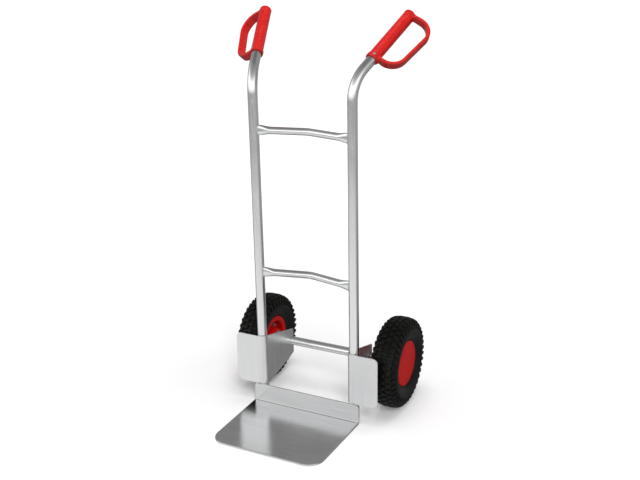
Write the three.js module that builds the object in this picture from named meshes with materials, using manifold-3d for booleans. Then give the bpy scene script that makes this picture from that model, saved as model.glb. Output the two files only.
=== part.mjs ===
// Aluminium hand truck with two air-tyred wheels.
//
// Millimetres, +Z up. The toe plate points along -Y, the handles lean back along +Y,
// and +X is to the right when the truck is seen from the front.
// It is drawn with y = 0 on the axes of the uprights and z = 0 on the floor, then
// shifted along Y at the end so that the origin is at the centre of its footprint.

import * as THREE from 'three';
import { mergeVertices } from 'three/addons/utils/BufferGeometryUtils.js';
import Module from 'manifold-3d';

const wasm = await Module();
wasm.setup();

// ---------------------------------------------------------------- driving dimensions

const GAP = 0.3;                // joint gap between pieces that touch or are welded

const UPRIGHT = {
  spacing: 288,                 // between the two tube axes
  radius: 13.5,
  wall: 2,
  bottom: 6,
  bendStart: 890,
  bendRadius: 95,
  lean: THREE.MathUtils.degToRad(56),       // of the handle, from vertical
  heading: THREE.MathUtils.degToRad(71),    // of the lean, from sideways towards the rear
  neck: 33,                     // straight tube between the bend and the grip
};

const PLUG = { foot: 3, edge: 1, spigot: 16, recess: 2 };

const CROSSBAR = {
  heights: { lower: 398, upper: 798 },
  radius: 10,
  wall: 1.5,
  bow: 30,
  bendRadius: 60,
  flatHeight: 28,               // of the pressed ends
  flatThickness: 11,
  flatLength: 34,
  flatShort: 4,                 // the flat is full this far before the upright
};

const BRACKET = {
  sheet: 3,
  top: 206,
  bottom: 57.3,
  outerEdge: 220,
  frontCornerTop: 13,
  frontCornerBottom: 20,
  rear: 151,
  rearTop: 166,
  rearBottom: 89,
  rearCorner: 8,
};

const TOE = {
  width: 330,
  depth: 250,
  sheet: 5,
  fold: 7,                      // outer radius of the fold
  flangeTop: 57,
  frontCorner: 44,
  frontTaper: 3,                // each side, from the fold to the front
  flangeCorner: 6,
};

const AXLE = {
  y: 143,
  z: 130,
  radius: 10,
  tubeRadius: 12.5,
  tubeEnd: 174,
  rodEnd: 234,
  grooveDepth: 0.9,
};

const WHEEL = {
  x: 212,                       // tyre's centre plane
  radius: 130,
  waist: 96,                    // radius at which the tyre is widest
  halfWidth: 39,
  wallThickness: 7,
  crownThickness: 11,
  beadOuter: 24,                // the bead lies between these distances from the centre plane
  beadInner: 15,
};

const RIM = {
  seat: 51,                     // radius of the barrel that the beads sit on
  wall: 3,
  seatEnd: 24.5,
  flangeRadius: 64,
  flangeBack: 25.2,
  flangeFace: 27.2,
  web: 5,                       // half thickness of the two webs together
  bore: 14,
  hubRadius: 26,
  hubInner: -34,
  hubOuter: 14,
};

const CAP = { radius: 65, face: 29, crown: 1.6, edge: 3, thickness: 1.5, skirt: 6, skirtWall: 2 };
const BOLT = { circle: 37, count: 4, radius: 3, hexagon: 5.7, head: 4, nut: 4.5, shank: 13 };
const INNER_TUBE = { ring: 88, radius: 23, wall: 1.5 };
const VALVE = { radius: 4, length: 24, capRadius: 4.6, capLength: 8, hole: 4.4, port: 2 };

const BEARING = { radius: 20, width: 12, clearance: 0.05 };

const GRIP = {
  radius: 16.3,
  bore: UPRIGHT.radius + GAP,
  collar: 18,
  collarLength: 12,
  collarTaper: 4,
  depth: 164,                   // how far the tube goes in
  length: 182,
  bead: 0.8,                    // how far the closed end stands proud
  guardTilt: THREE.MathUtils.degToRad(-36), // below the sideways direction
  guardThickness: 10,
  guardWidth: 25,
  guardEdge: 4.5,
  screwAt: 10,
};

const SCREW = { head: 3.8, headHeight: 2.4, shank: 2, hole: 2.4, looseHole: 2.6 };

// ---------------------------------------------------------------- finishes

const ALUMINIUM = { color: 0xc9cacc, roughness: 0.38, metalness: 1 };
const STEEL = { color: 0xa9acb0, roughness: 0.3, metalness: 1 };
const RUBBER = { color: 0x1d1d1c, roughness: 0.85, metalness: 0 };
const RED_PLASTIC = { color: 0xd8221f, roughness: 0.38, metalness: 0 };
const RED_RIM = { color: 0xb51d22, roughness: 0.42, metalness: 0 };
const BLACK_PLASTIC = { color: 0x222222, roughness: 0.6, metalness: 0 };

// ---------------------------------------------------------------- geometry helpers

const ROUND = 16;               // sides of a tube or a turned small piece
const WHEEL_ROUND = 24;         // sides of a tyre, a rim or a hub cap
const SMALL = 8;                // sides of a bolt, a screw or their holes

const ALONG_X = new THREE.Matrix4().makeBasis(
  new THREE.Vector3(0, 1, 0),
  new THREE.Vector3(0, 0, 1),
  new THREE.Vector3(1, 0, 0),
);
const ALONG_Y = new THREE.Matrix4().makeBasis(
  new THREE.Vector3(1, 0, 0),
  new THREE.Vector3(0, 0, 1),
  new THREE.Vector3(0, -1, 0),
);

// Radius at the corners of a polygon whose flats stand at the given radius.
const circumscribed = (radius, sides = ROUND) => radius / Math.cos(Math.PI / sides);

// Positions only, with shared vertices and every face turned outwards.
function closed(geometry) {
  const bare = geometry.index ? geometry.toNonIndexed() : geometry.clone();
  bare.deleteAttribute('normal');
  bare.deleteAttribute('uv');
  const merged = mergeVertices(bare, 1e-4);
  const position = merged.attributes.position;
  const index = merged.index.array;
  const [a, b, c] = [new THREE.Vector3(), new THREE.Vector3(), new THREE.Vector3()];
  const kept = [];
  let volume = 0;
  for (let i = 0; i < index.length; i += 3) {
    const [p, q, r] = [index[i], index[i + 1], index[i + 2]];
    if (p === q || q === r || r === p) continue;
    a.fromBufferAttribute(position, p);
    b.fromBufferAttribute(position, q);
    c.fromBufferAttribute(position, r);
    volume += a.dot(b.cross(c));
    kept.push(p, q, r);
  }
  if (volume < 0) kept.reverse();
  merged.setIndex(kept);
  return merged;
}

function toSolid(geometry) {
  const shape = closed(geometry);
  return new wasm.Manifold(new wasm.Mesh({
    numProp: 3,
    vertProperties: new Float32Array(shape.attributes.position.array),
    triVerts: new Uint32Array(shape.index.array),
  }));
}

function fromSolid(solid) {
  const mesh = solid.getMesh();
  const geometry = new THREE.BufferGeometry();
  geometry.setAttribute('position', new THREE.BufferAttribute(mesh.vertProperties, 3));
  geometry.setIndex(new THREE.BufferAttribute(mesh.triVerts, 1));
  return geometry;
}

const join = (...shapes) => fromSolid(shapes.map(toSolid).reduce((sum, next) => sum.add(next)));
const cut = (shape, ...tools) =>
  fromSolid(tools.map(toSolid).reduce((rest, tool) => rest.subtract(tool), toSolid(shape)));
const overlap = (shape, other) => fromSolid(toSolid(shape).intersect(toSolid(other)));

// A shape from [x, y, radius] corners, each rounded by a true arc.
function roundedShape(corners) {
  const shape = new THREE.Shape();
  corners.forEach(([x, y, radius = 0], i) => {
    const corner = new THREE.Vector2(x, y);
    const previous = corners.at(i - 1);
    const next = corners[(i + 1) % corners.length];
    if (!radius) {
      if (i) shape.lineTo(x, y);
      else shape.moveTo(x, y);
      return;
    }
    const back = new THREE.Vector2(previous[0], previous[1]).sub(corner).normalize();
    const ahead = new THREE.Vector2(next[0], next[1]).sub(corner).normalize();
    const half = Math.acos(THREE.MathUtils.clamp(back.dot(ahead), -1, 1)) / 2;
    const start = corner.clone().addScaledVector(back, radius / Math.tan(half));
    const end = corner.clone().addScaledVector(ahead, radius / Math.tan(half));
    const bisector = back.clone().add(ahead).normalize();
    const centre = corner.clone().addScaledVector(bisector, radius / Math.sin(half));
    if (i) shape.lineTo(start.x, start.y);
    else shape.moveTo(start.x, start.y);
    const from = start.clone().sub(centre).angle();
    const to = end.clone().sub(centre).angle();
    shape.absarc(centre.x, centre.y, radius, from, to, back.cross(ahead) > 0);
  });
  return shape;
}

// A prism of the shape between two positions along X, Y or Z.
function prism(shape, axis, from, to, curveSegments = 5) {
  const geometry = new THREE.ExtrudeGeometry(shape, {
    depth: to - from,
    bevelEnabled: false,
    curveSegments,
  });
  if (axis === 'x') return geometry.translate(0, 0, from).applyMatrix4(ALONG_X);
  if (axis === 'y') return geometry.translate(0, 0, -to).applyMatrix4(ALONG_Y);
  return geometry.translate(0, 0, from);
}

// A solid of revolution about X from [radius, x] points.
// The profile closes on itself unless both ends lie on the axis.
function turned(profile, sides = ROUND) {
  const points = profile.map(([radius, x]) => new THREE.Vector2(radius, x));
  if (points[0].x > 0 || points.at(-1).x > 0) points.push(points[0].clone());
  return new THREE.LatheGeometry(points, sides).rotateZ(-Math.PI / 2);
}

// A cylinder about the line from one point to another.
function rod(radius, from, to, sides = ROUND) {
  const direction = to.clone().sub(from);
  const geometry = new THREE.CylinderGeometry(radius, radius, direction.length(), sides);
  const turn = new THREE.Quaternion().setFromUnitVectors(
    new THREE.Vector3(0, 1, 0),
    direction.clone().normalize(),
  );
  const middle = from.clone().lerp(to, 0.5);
  return geometry.applyQuaternion(turn).translate(middle.x, middle.y, middle.z);
}

const alongX = (radius, from, to, y, z, sides = ROUND) =>
  rod(radius, new THREE.Vector3(from, y, z), new THREE.Vector3(to, y, z), sides);

const mirrored = (geometry) => geometry.clone().scale(-1, 1, 1);

// A path of straight legs and circular bends, each leg taking one step and each bend
// several, so that an extrusion along it spends its rings where the path curves.
class SteppedPath extends THREE.Curve {
  constructor(points) {
    super();
    this.points = points;
  }

  getUtoTmapping(u) {
    return u;
  }

  getPoint(t, target = new THREE.Vector3()) {
    const place = THREE.MathUtils.clamp(t, 0, 1) * (this.points.length - 1);
    const i = Math.min(Math.floor(place), this.points.length - 2);
    return target.lerpVectors(this.points[i], this.points[i + 1], place - i);
  }

  // Mean direction of the two steps that meet at a ring.
  getTangent(t, target = new THREE.Vector3()) {
    const last = this.points.length - 1;
    const i = Math.round(THREE.MathUtils.clamp(t, 0, 1) * last);
    const before = this.points[Math.max(i, 1)].clone().sub(this.points[Math.max(i, 1) - 1]);
    const after = this.points[Math.min(i, last - 1) + 1].clone().sub(this.points[Math.min(i, last - 1)]);
    return target.copy(before.normalize()).add(after.normalize()).normalize();
  }
}

// Rounds every inner corner of a 3-D polyline with an arc of its own radius.
function bentPath(corners, steps) {
  const points = [corners[0].at.clone()];
  for (let i = 1; i < corners.length - 1; i += 1) {
    const { at, radius } = corners[i];
    const back = corners[i - 1].at.clone().sub(at).normalize();
    const ahead = corners[i + 1].at.clone().sub(at).normalize();
    const half = back.angleTo(ahead) / 2;
    const start = at.clone().addScaledVector(back, radius / Math.tan(half));
    const centre = at.clone().addScaledVector(back.clone().add(ahead).normalize(), radius / Math.sin(half));
    const axis = back.clone().cross(ahead).normalize();
    const sweep = -(Math.PI - 2 * half);
    for (let k = 0; k <= steps; k += 1) {
      const spoke = start.clone().sub(centre).applyAxisAngle(axis, (sweep * k) / steps);
      points.push(centre.clone().add(spoke));
    }
  }
  points.push(corners.at(-1).at.clone());
  return new SteppedPath(points);
}

function circle(radius, hole = 0) {
  const shape = new THREE.Shape();
  shape.absarc(0, 0, radius, 0, 2 * Math.PI);
  if (hole) shape.holes.push(new THREE.Path().absarc(0, 0, hole, 0, 2 * Math.PI));
  return shape;
}

function swept(shape, path, curveSegments = ROUND / 2) {
  return new THREE.ExtrudeGeometry(shape, {
    steps: path.points.length - 1,
    extrudePath: path,
    curveSegments,
  });
}

// ---------------------------------------------------------------- assembly

const truck = new THREE.Group();
const frame = new THREE.Group();
truck.add(frame);

function addPart(parent, name, geometry, finish) {
  const mesh = new THREE.Mesh(closed(geometry), new THREE.MeshStandardMaterial(finish));
  mesh.name = name;
  parent.add(mesh);
}

// The right-hand piece as drawn, and its mirror image as the left-hand one.
function addPair(name, geometry, finish) {
  addPart(frame, `${name}_right`, geometry, finish);
  addPart(frame, `${name}_left`, mirrored(geometry), finish);
}

// ---------------------------------------------------------------- handle direction

const half = UPRIGHT.spacing / 2;
const sideways = new THREE.Vector3(Math.cos(UPRIGHT.heading), Math.sin(UPRIGHT.heading), 0);
const handle = new THREE.Vector3(0, 0, Math.cos(UPRIGHT.lean))
  .addScaledVector(sideways, Math.sin(UPRIGHT.lean));
const bendCorner = new THREE.Vector3(
  half,
  0,
  UPRIGHT.bendStart + UPRIGHT.bendRadius * Math.tan(UPRIGHT.lean / 2),
);
const bendEnd = bendCorner.clone()
  .addScaledVector(handle, UPRIGHT.bendRadius * Math.tan(UPRIGHT.lean / 2));
const gripMouth = bendEnd.clone().addScaledVector(handle, UPRIGHT.neck);
const tubeEnd = gripMouth.clone().addScaledVector(handle, GRIP.depth);

// Axes of the grip: along the tube, towards the guard, and across the guard.
const gripAlong = handle.clone();
const level = gripAlong.clone().cross(new THREE.Vector3(0, 0, 1)).normalize();
const gripGuard = level.clone()
  .multiplyScalar(Math.cos(GRIP.guardTilt))
  .addScaledVector(level.clone().cross(gripAlong).normalize(), Math.sin(GRIP.guardTilt));
const gripAcross = gripAlong.clone().cross(gripGuard).normalize();
const inGrip = (along, guard, across = 0) => gripMouth.clone()
  .addScaledVector(gripAlong, along)
  .addScaledVector(gripGuard, guard)
  .addScaledVector(gripAcross, across);

// ---------------------------------------------------------------- uprights and plugs

function screwHole(radius) {
  return rod(radius, inGrip(GRIP.screwAt, 0, 0), inGrip(GRIP.screwAt, 0, -2 * GRIP.collar), SMALL);
}

function upright() {
  const path = bentPath([
    { at: new THREE.Vector3(half, 0, UPRIGHT.bottom) },
    { at: bendCorner, radius: UPRIGHT.bendRadius },
    { at: tubeEnd },
  ], 7);
  const tube = swept(circle(UPRIGHT.radius, UPRIGHT.radius - UPRIGHT.wall), path);
  return cut(tube, screwHole(SCREW.hole));
}

function endPlug() {
  const bore = UPRIGHT.radius - UPRIGHT.wall - GAP;
  const top = UPRIGHT.bottom - GAP;
  const spigot = top + PLUG.spigot;
  return turned([
    [0, top - PLUG.foot],
    [UPRIGHT.radius - PLUG.edge, top - PLUG.foot],
    [UPRIGHT.radius, top - PLUG.foot + PLUG.edge],
    [UPRIGHT.radius, top],
    [bore, top],
    [bore, spigot],
    [bore - PLUG.recess, spigot],
    [bore - PLUG.recess, top],
    [0, top],
  ]).rotateY(-Math.PI / 2).translate(half, 0, 0);
}

addPair('upright', upright(), ALUMINIUM);
addPair('end_plug', endPlug(), BLACK_PLASTIC);

// ---------------------------------------------------------------- crossbars

const barCentreY = (x) => CROSSBAR.bow * Math.max(0, 1 - Math.abs(x) / half);

// Presses the ends of a bar that runs along X: taller, thinner, and round in the middle.
function pressEnds(geometry, height) {
  const position = geometry.attributes.position;
  const reach = half - UPRIGHT.radius;
  const tall = CROSSBAR.flatHeight / (2 * CROSSBAR.radius);
  const thin = CROSSBAR.flatThickness / (2 * CROSSBAR.radius);
  for (let i = 0; i < position.count; i += 1) {
    const x = position.getX(i);
    const pressed = THREE.MathUtils.smoothstep(
      Math.abs(x),
      reach - CROSSBAR.flatLength,
      reach - CROSSBAR.flatShort,
    );
    const middle = barCentreY(x);
    position.setY(i, middle + (position.getY(i) - middle) * (1 + (thin - 1) * pressed));
    position.setZ(i, height + (position.getZ(i) - height) * (1 + (tall - 1) * pressed));
  }
  return geometry;
}

function crossbar(height) {
  const bend = bentPath([
    { at: new THREE.Vector3(-half, 0, height) },
    { at: new THREE.Vector3(0, CROSSBAR.bow, height), radius: CROSSBAR.bendRadius },
    { at: new THREE.Vector3(half, 0, height) },
  ], 2).points;
  // Extra rings towards each end, where the bar is pressed flat.
  const stops = [0.18, 0.44];
  const left = stops.map((part) => bend[0].clone().lerp(bend[1], part));
  const right = stops.map((part) => bend.at(-1).clone().lerp(bend.at(-2), part)).reverse();
  const path = new SteppedPath([bend[0], ...left, ...bend.slice(1, -1), ...right, bend.at(-1)]);
  const tube = swept(circle(CROSSBAR.radius, CROSSBAR.radius - CROSSBAR.wall), path);
  const saddle = circumscribed(UPRIGHT.radius + GAP);
  const cutters = [-half, half].map((x) => rod(
    saddle,
    new THREE.Vector3(x, 0, height - CROSSBAR.flatHeight),
    new THREE.Vector3(x, 0, height + CROSSBAR.flatHeight),
  ));
  return cut(pressEnds(tube, height), ...cutters);
}

for (const [place, height] of Object.entries(CROSSBAR.heights)) {
  addPart(frame, `crossbar_${place}`, crossbar(height), ALUMINIUM);
}

// ---------------------------------------------------------------- brackets

function bracket() {
  const inner = UPRIGHT.radius + GAP;
  const outer = inner + BRACKET.sheet;
  const sheet = new THREE.Shape();
  sheet.moveTo(BRACKET.outerEdge, -outer);
  sheet.lineTo(BRACKET.outerEdge, -inner);
  sheet.lineTo(half, -inner);
  sheet.absarc(half, 0, inner, -Math.PI / 2, -Math.PI, true);
  sheet.lineTo(half - inner, BRACKET.rear);
  sheet.lineTo(half - outer, BRACKET.rear);
  sheet.absarc(half, 0, outer, -Math.PI, -Math.PI / 2, false);
  const front = roundedShape([
    [half - outer - 1, BRACKET.bottom],
    [BRACKET.outerEdge, BRACKET.bottom, BRACKET.frontCornerBottom],
    [BRACKET.outerEdge, BRACKET.top, BRACKET.frontCornerTop],
    [half - outer - 1, BRACKET.top],
  ]);
  const side = roundedShape([
    [-1, BRACKET.bottom],
    [6, BRACKET.bottom],
    [BRACKET.rear, BRACKET.rearBottom, BRACKET.rearCorner],
    [BRACKET.rear, BRACKET.rearTop, BRACKET.rearCorner],
    [0, BRACKET.top],
    [-1, BRACKET.top],
  ]);
  const keep = join(
    prism(front, 'y', -outer - 1, 0),
    prism(side, 'x', half - outer - 1, half - inner + 1),
  );
  const folded = overlap(prism(sheet, 'z', BRACKET.bottom - 1, BRACKET.top + 1, 6), keep);
  const axleHole = circumscribed(AXLE.tubeRadius + GAP);
  return cut(folded, alongX(axleHole, half - 40, half, AXLE.y, AXLE.z));
}

addPair('bracket', bracket(), ALUMINIUM);

// ---------------------------------------------------------------- toe plate

function toePlate() {
  const rear = -(UPRIGHT.radius + GAP);
  const front = rear - TOE.sheet - TOE.depth;
  const inside = TOE.fold - TOE.sheet;
  const section = roundedShape([
    [front, 0],
    [rear, 0, TOE.fold],
    [rear, TOE.flangeTop],
    [rear - TOE.sheet, TOE.flangeTop],
    [rear - TOE.sheet, TOE.sheet, inside],
    [front, TOE.sheet],
  ]);
  const edge = TOE.width / 2;
  const nose = edge - TOE.frontTaper;
  const plan = roundedShape([
    [-nose, front, TOE.frontCorner],
    [nose, front, TOE.frontCorner],
    [edge, rear - TOE.sheet],
    [edge, rear + 1],
    [-edge, rear + 1],
    [-edge, rear - TOE.sheet],
  ]);
  const face = roundedShape([
    [-edge, -1],
    [edge, -1],
    [edge, TOE.flangeTop - TOE.flangeCorner],
    [edge - TOE.flangeCorner, TOE.flangeTop],
    [-edge + TOE.flangeCorner, TOE.flangeTop],
    [-edge, TOE.flangeTop - TOE.flangeCorner],
  ]);
  const blank = overlap(prism(section, 'x', -edge, edge, 4), prism(plan, 'z', -1, TOE.flangeTop + 1, 8));
  return overlap(blank, prism(face, 'y', front - 1, 0));
}

addPart(frame, 'toe_plate', toePlate(), ALUMINIUM);

// ---------------------------------------------------------------- axle

function axleTube() {
  return prism(circle(AXLE.tubeRadius, AXLE.radius + GAP), 'x', -AXLE.tubeEnd, AXLE.tubeEnd, ROUND / 2)
    .translate(0, AXLE.y, AXLE.z);
}

// Places along the axle, from the tube's end outwards.
const spacerFrom = AXLE.tubeEnd + GAP;
const spacerTo = WHEEL.x + RIM.hubInner - GAP;
const washerFrom = WHEEL.x + RIM.hubOuter + GAP;
const washerTo = washerFrom + 2;
const ringFrom = washerTo + GAP;
const ringTo = ringFrom + 1.5;

function axleRod() {
  const groove = AXLE.radius - AXLE.grooveDepth - GAP;
  const right = [
    [AXLE.radius, ringFrom - GAP],
    [groove, ringFrom - GAP],
    [groove, ringTo + GAP],
    [AXLE.radius, ringTo + GAP],
    [AXLE.radius, AXLE.rodEnd - 1],
    [AXLE.radius - 1, AXLE.rodEnd],
    [0, AXLE.rodEnd],
  ];
  const left = right.map(([radius, x]) => [radius, -x]).reverse();
  return turned([...left, ...right]).translate(0, AXLE.y, AXLE.z);
}

function washer(from, to, radius) {
  const bore = circumscribed(AXLE.radius + GAP);
  return turned([[bore, from], [radius, from], [radius, to], [bore, to]]).translate(0, AXLE.y, AXLE.z);
}

function retainingRing() {
  const inner = AXLE.radius - AXLE.grooveDepth;
  const outer = AXLE.radius + 3.5;
  const mouth = THREE.MathUtils.degToRad(25);
  const shape = new THREE.Shape();
  shape.absarc(0, 0, outer, mouth, 2 * Math.PI - mouth, false);
  shape.absarc(0, 0, inner, 2 * Math.PI - mouth, mouth, true);
  return prism(shape, 'x', ringFrom, ringTo, 8).translate(0, AXLE.y, AXLE.z);
}

addPart(frame, 'axle_tube', axleTube(), ALUMINIUM);
addPart(frame, 'axle_rod', axleRod(), STEEL);
addPair('spacer_washer', washer(spacerFrom, spacerTo, 16), STEEL);
addPair('outer_washer', washer(washerFrom, washerTo, 17), STEEL);
addPair('retaining_ring', retainingRing(), STEEL);

// ---------------------------------------------------------------- wheels

// Wheel pieces are drawn about their own axle line, with x = 0 on the tyre's centre plane
// and +x away from the truck, then placed on the right and mirrored on the left.
const wheelRight = new THREE.Group();
const wheelLeft = new THREE.Group();
wheelRight.position.set(WHEEL.x, AXLE.y, AXLE.z);
wheelLeft.position.set(-WHEEL.x, AXLE.y, AXLE.z);
truck.add(wheelRight, wheelLeft);

function addWheelPart(name, geometry, finish) {
  addPart(wheelRight, `${name}_right`, geometry, finish);
  addPart(wheelLeft, `${name}_left`, mirrored(geometry), finish);
}

// Half of a tyre's section line is a squarish crown, the rest a rounder wall down to the bead.
function tyreLine({ crown, wall, halfWidth, beadAngle, steps }) {
  return Array.from({ length: steps + 1 }, (_, i) => {
    const angle = THREE.MathUtils.degToRad(beadAngle) * ((2 * i) / steps - 1);
    const [up, out] = [Math.cos(angle), Math.sin(angle)];
    const power = up >= 0 ? 2 / 3 : 2 / 2.2;
    const depth = up >= 0 ? crown : wall;
    return [
      WHEEL.waist + Math.sign(up) * Math.abs(up) ** power * depth,
      Math.sign(out) * Math.abs(out) ** power * halfWidth,
    ];
  });
}

function tyre() {
  const outside = tyreLine({
    crown: WHEEL.radius - WHEEL.waist,
    wall: WHEEL.halfWidth,
    halfWidth: WHEEL.halfWidth,
    beadAngle: 142,
    steps: 14,
  });
  const inside = tyreLine({
    crown: WHEEL.radius - WHEEL.waist - WHEEL.crownThickness,
    wall: WHEEL.halfWidth - 3,
    halfWidth: WHEEL.halfWidth - WHEEL.wallThickness,
    beadAngle: 160,
    steps: 8,
  });
  const bead = RIM.seat + GAP;
  return turned([
    [bead, -WHEEL.beadOuter],
    ...outside,
    [bead, WHEEL.beadOuter],
    [bead, WHEEL.beadInner],
    ...inside.reverse(),
    [bead, -WHEEL.beadInner],
  ], WHEEL_ROUND);
}

// The valve leans inwards from the bottom of the inner tube.
function alongValve(distance) {
  const root = new THREE.Vector3(-1, 0, INNER_TUBE.ring - INNER_TUBE.radius - 2.7);
  return root.addScaledVector(new THREE.Vector3(-0.5, 0, -0.866), distance);
}

function innerTube() {
  const ring = (radius) => {
    const points = new THREE.Path().absarc(INNER_TUBE.ring, 0, radius, 0, 2 * Math.PI).getPoints(4);
    return turned(points.slice(0, -1).map((p) => [p.x, p.y]), 12);
  };
  const port = rod(VALVE.port, alongValve(-10), alongValve(4), SMALL);
  return cut(ring(INNER_TUBE.radius), ring(INNER_TUBE.radius - INNER_TUBE.wall), port);
}

// One half of the rim, on the side that x is given for.
function rimHalf(side, hubEnd) {
  const at = (side * GAP) / 2;
  const inside = RIM.seat - RIM.wall;
  const housing = circumscribed(BEARING.radius + GAP);
  const shelf = hubEnd - side * (BEARING.width + GAP);
  return turned([
    [RIM.bore, at],
    [RIM.seat, at],
    [RIM.seat, side * RIM.seatEnd],
    [RIM.flangeRadius, side * RIM.flangeBack],
    [RIM.flangeRadius, side * RIM.flangeFace],
    [RIM.seat - 1, side * RIM.flangeFace],
    [inside, side * (RIM.flangeFace - RIM.wall)],
    [inside, side * RIM.web],
    [RIM.hubRadius, side * RIM.web],
    [RIM.hubRadius, hubEnd],
    [housing, hubEnd],
    [housing, shelf],
    [RIM.bore, shelf],
  ], WHEEL_ROUND);
}

const boltPlaces = Array.from({ length: BOLT.count }, (_, i) => {
  const angle = ((i + 0.5) * 2 * Math.PI) / BOLT.count;
  return [BOLT.circle * Math.cos(angle), BOLT.circle * Math.sin(angle)];
});

const boltBore = circumscribed(BOLT.radius + GAP, SMALL);
const boltHoles = () => boltPlaces.map(([y, z]) => alongX(boltBore, -BOLT.shank, BOLT.shank, y, z, SMALL));

function rimOuter() {
  return cut(rimHalf(1, RIM.hubOuter), ...boltHoles());
}

function rimInner() {
  const hole = rod(VALVE.hole, alongValve(-2), alongValve(VALVE.length - 2), 12);
  return cut(rimHalf(-1, RIM.hubInner), ...boltHoles(), hole);
}

function bearing(from, to) {
  const bore = circumscribed(AXLE.radius + BEARING.clearance);
  return turned([[bore, from], [BEARING.radius, from], [BEARING.radius, to], [bore, to]]);
}

function hubCap() {
  const { radius, face, crown, edge } = CAP;
  const dome = new THREE.QuadraticBezierCurve(
    new THREE.Vector2(0, face + crown),
    new THREE.Vector2(radius / 2, face + crown),
    new THREE.Vector2(radius - edge, face),
  ).getPoints(4).map((p) => [p.x, p.y]);
  const back = face - CAP.thickness;
  const skirt = RIM.seat - RIM.wall - 1;
  return turned([
    ...dome,
    [radius, face - 1],
    [radius, back],
    [skirt, back],
    [skirt, face - CAP.skirt],
    [skirt - CAP.skirtWall, face - CAP.skirt],
    [skirt - CAP.skirtWall, back],
    [0, back],
  ], WHEEL_ROUND);
}

function hexagon(radius) {
  return new THREE.Shape(Array.from({ length: 6 }, (_, i) =>
    new THREE.Vector2(radius * Math.cos((i * Math.PI) / 3), radius * Math.sin((i * Math.PI) / 3))));
}

// The bolt heads lie on the outside of the webs and the nuts on the inside.
function rimBolt([y, z]) {
  const seat = RIM.web + GAP;
  const head = prism(hexagon(BOLT.hexagon), 'x', seat, seat + BOLT.head).translate(0, y, z);
  return join(head, alongX(BOLT.radius, -BOLT.shank, seat + 1, y, z, SMALL));
}

function rimNut([y, z]) {
  const seat = -RIM.web - GAP;
  const nut = prism(hexagon(BOLT.hexagon), 'x', seat - BOLT.nut, seat).translate(0, y, z);
  return cut(nut, alongX(boltBore, -BOLT.shank, 0, y, z, SMALL));
}

function valveStem() {
  return rod(VALVE.radius, alongValve(0), alongValve(VALVE.length), 12);
}

function valveCap() {
  const start = VALVE.length + GAP;
  return rod(VALVE.capRadius, alongValve(start), alongValve(start + VALVE.capLength), 12);
}

addWheelPart('tyre', tyre(), RUBBER);
addWheelPart('inner_tube', innerTube(), RUBBER);
addWheelPart('valve_stem', valveStem(), RUBBER);
addWheelPart('valve_cap', valveCap(), BLACK_PLASTIC);
addWheelPart('rim_outer', rimOuter(), RED_RIM);
addWheelPart('rim_inner', rimInner(), RED_RIM);
addWheelPart('hub_cap', hubCap(), RED_RIM);
addWheelPart('bearing_outer', bearing(RIM.hubOuter - BEARING.width, RIM.hubOuter), STEEL);
addWheelPart('bearing_inner', bearing(RIM.hubInner, RIM.hubInner + BEARING.width), STEEL);
boltPlaces.forEach((place, i) => {
  addWheelPart(`rim_bolt_${i + 1}`, rimBolt(place), STEEL);
  addWheelPart(`rim_nut_${i + 1}`, rimNut(place), STEEL);
});

// ---------------------------------------------------------------- grips

function grip() {
  const domeStart = GRIP.length - 8;
  const dome = new THREE.QuadraticBezierCurve(
    new THREE.Vector2(GRIP.radius + GRIP.bead, domeStart),
    new THREE.Vector2(GRIP.radius + GRIP.bead, GRIP.length),
    new THREE.Vector2(0, GRIP.length),
  ).getPoints(5).map((p) => [p.x, p.y]);
  const sleeve = turned([
    [0, 0],
    [GRIP.collar, 0],
    [GRIP.collar, GRIP.collarLength],
    [GRIP.radius, GRIP.collarLength + GRIP.collarTaper],
    [GRIP.radius, domeStart - 8],
    ...dome,
  ]);
  const bore = turned([
    [0, -1],
    [circumscribed(GRIP.bore), -1],
    [circumscribed(GRIP.bore), GRIP.depth + 1],
    [0, GRIP.depth + 1],
  ]);
  const place = new THREE.Matrix4()
    .makeBasis(gripAlong, gripGuard, gripAcross)
    .setPosition(gripMouth);
  sleeve.applyMatrix4(place);
  bore.applyMatrix4(place);
  return cut(join(sleeve, guard()), bore, screwHole(SCREW.looseHole));
}

// The knuckle guard: a wide flat band that leaves the closed end and comes back at the collar.
function guard() {
  const path = bentPath([
    { at: inGrip(173, 4) },
    { at: inGrip(175, 78), radius: 39 },
    { at: inGrip(3, 63), radius: 41 },
    { at: inGrip(15, 6) },
  ], 6);
  const [t, w] = [GRIP.guardThickness / 2, GRIP.guardWidth / 2];
  const section = roundedShape([[-t, -w], [t, -w], [t, w], [-t, w]].map((p) => [...p, GRIP.guardEdge]));
  return swept(section, path, 1);
}

function gripScrew() {
  const seat = GRIP.collar + GAP;
  const tip = UPRIGHT.radius - 6;
  const head = rod(
    SCREW.head,
    inGrip(GRIP.screwAt, 0, -seat),
    inGrip(GRIP.screwAt, 0, -seat - SCREW.headHeight),
    SMALL,
  );
  const shank = rod(
    SCREW.shank,
    inGrip(GRIP.screwAt, 0, -seat - 1),
    inGrip(GRIP.screwAt, 0, -tip),
    SMALL,
  );
  return join(head, shank);
}

addPair('grip', grip(), RED_PLASTIC);
addPair('grip_screw', gripScrew(), STEEL);

// ---------------------------------------------------------------- footprint centre

truck.updateMatrixWorld(true);
const extent = new THREE.Box3().setFromObject(truck);
truck.position.set(0, -(extent.min.y + extent.max.y) / 2, 0);

export default truck;
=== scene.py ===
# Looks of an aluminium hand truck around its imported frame.
#
# Metres, +Z up, the toe plate towards -Y, +X to the right when seen from the front.
# A smoother piece stands in the place of nearly every CAD piece; small fasteners and hidden
# wheel parts keep their CAD shape.

import math

import bmesh
import bpy
from mathutils import Matrix, Quaternion, Vector


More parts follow.
